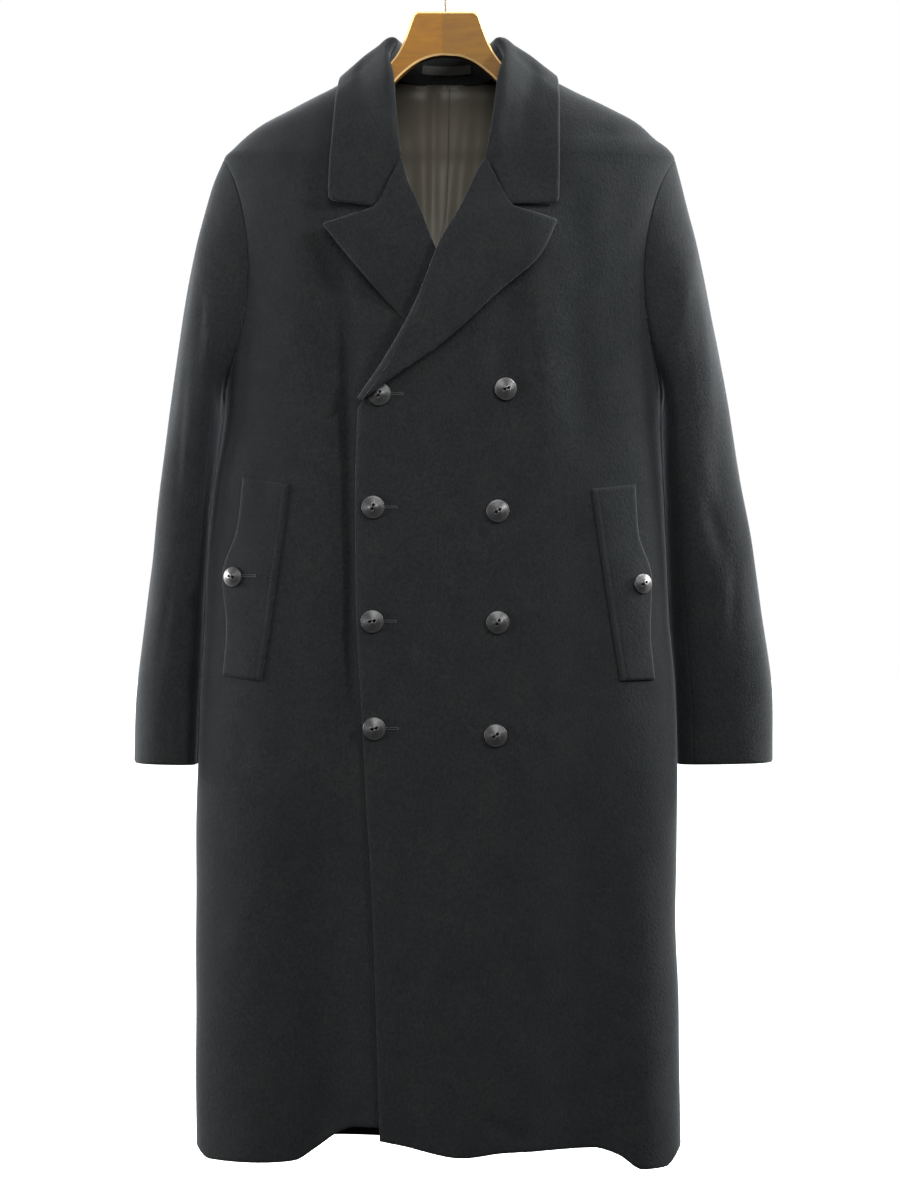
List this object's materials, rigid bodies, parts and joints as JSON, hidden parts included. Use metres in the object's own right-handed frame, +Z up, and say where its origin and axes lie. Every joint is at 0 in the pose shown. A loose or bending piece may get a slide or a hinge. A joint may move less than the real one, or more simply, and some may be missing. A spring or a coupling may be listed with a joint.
{
  "type": "chesterfield coat on a wooden coat hanger",
  "caption": "Long double-breasted wool overcoat with peaked lapels, a turned collar and slanted welt pockets, buttoned up and hanging on a wooden hanger with a wire hook.",
  "frame": {"origin": "the point inside the wire hook that bears on the rail", "axes": "+Z up, +X to the right seen from the front (the wearer's left), the coat's front faces -Y"},
  "size_m": [0.6802, 0.1976, 1.2918],
  "materials": {
    "wool": "dark charcoal melton wool, short soft nap",
    "lining": "brown-grey satin",
    "label": "bare woven tape",
    "horn": "satin grey, horn-like",
    "light_wood": "clear lacquer",
    "dark_wood": "clear lacquer",
    "wire": "dark bronzed steel wire"
  },
  "bodies": {
    "root": {"left_front": "wool", "right_front": "wool", "left_back": "wool", "right_back": "wool", "left_lapel": "wool", "right_lapel": "wool", "collar": "wool", "left_sleeve_top": "wool", "left_sleeve_under": "wool", "right_sleeve_top": "wool", "right_sleeve_under": "wool", "left_pocket_welt": "wool", "right_pocket_welt": "wool", "button_right_1": "horn", "button_right_2": "horn", "button_right_3": "horn", "button_right_4": "horn", "button_left_1": "horn", "button_left_2": "horn", "button_left_3": "horn", "button_left_4": "horn", "pocket_button_right": "horn", "pocket_button_left": "horn", "back_lining": "lining", "neck_label": "label", "hanger_left": "dark_wood", "hanger_right": "light_wood", "hanger_hook": "wire"}
  },
  "joints": []
}
